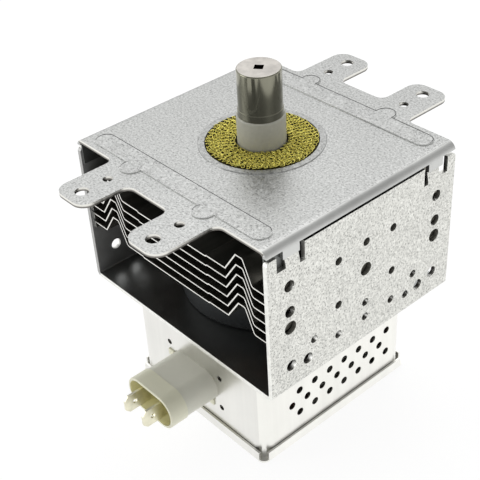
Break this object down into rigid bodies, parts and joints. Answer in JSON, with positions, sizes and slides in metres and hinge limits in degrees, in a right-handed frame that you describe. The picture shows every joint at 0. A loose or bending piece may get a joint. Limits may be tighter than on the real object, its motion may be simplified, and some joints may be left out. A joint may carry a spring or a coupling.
{
  "type": "magnetron",
  "caption": "Microwave oven magnetron: flanged steel yoke, folded cooling fins, capped antenna with knitted gasket, and a filter box with blade terminals in a boot.",
  "frame": {"origin": "middle of the four fixing holes, on the top face of the fixing plate", "axes": "+Z along the antenna, away from the filter box; Y along the air flow, with the terminals on the -Y side; X from wall to wall"},
  "size_m": [0.0834, 0.116, 0.1129],
  "materials": {
    "zinc_plate": "zinc-coated sheet, matt with a fine speckle",
    "zinc_frame": "zinc-coated sheet, matt with a fine speckle",
    "brass_mesh": "knitted wire",
    "stainless": "drawn, satin",
    "alumina": "matt",
    "copper": "bare copper, satin",
    "ferrite": "matt",
    "soft_iron": "plated, satin",
    "nickel_plate": "plated, satin",
    "tungsten": "matt",
    "enamelled_wire": "enamelled copper, glossy",
    "boot_plastic": "satin",
    "capacitor_resin": "satin",
    "tinned_brass": "tin-plated",
    "tin_plate": "bright, smooth",
    "fin_aluminium": "mill finish"
  },
  "bodies": {
    "root": {"yoke_top": "zinc_plate", "yoke_frame": "zinc_frame", "rf_gasket": "brass_mesh", "antenna_cap": "stainless", "antenna_ceramic": "alumina", "exhaust_tube": "copper", "antenna_lead": "copper", "upper_magnet": "ferrite", "lower_magnet": "ferrite", "anode_cylinder": "copper", "anode_vanes": "copper", "strap_rings": "copper", "upper_pole_piece": "soft_iron", "lower_pole_piece": "soft_iron", "upper_seal_cup": "nickel_plate", "lower_seal_cup": "nickel_plate", "stem_ceramic": "alumina", "filament": "tungsten", "upper_end_hat": "tungsten", "lower_end_hat": "tungsten", "centre_lead": "tungsten", "side_lead": "tungsten", "left_stem_terminal": "nickel_plate", "right_stem_terminal": "nickel_plate", "left_choke_coil": "enamelled_wire", "right_choke_coil": "enamelled_wire", "left_ferrite_rod": "ferrite", "right_ferrite_rod": "ferrite", "capacitor_boot": "boot_plastic", "capacitor_flange": "nickel_plate", "capacitor_body": "capacitor_resin", "left_terminal_tab": "tinned_brass", "right_terminal_tab": "tinned_brass", "filter_box": "tin_plate", "filter_lid": "tin_plate", "cooling_fin_1": "fin_aluminium", "cooling_fin_2": "fin_aluminium", "cooling_fin_3": "fin_aluminium", "cooling_fin_4": "fin_aluminium", "cooling_fin_5": "fin_aluminium", "cooling_fin_6": "fin_aluminium"}
  },
  "joints": []
}
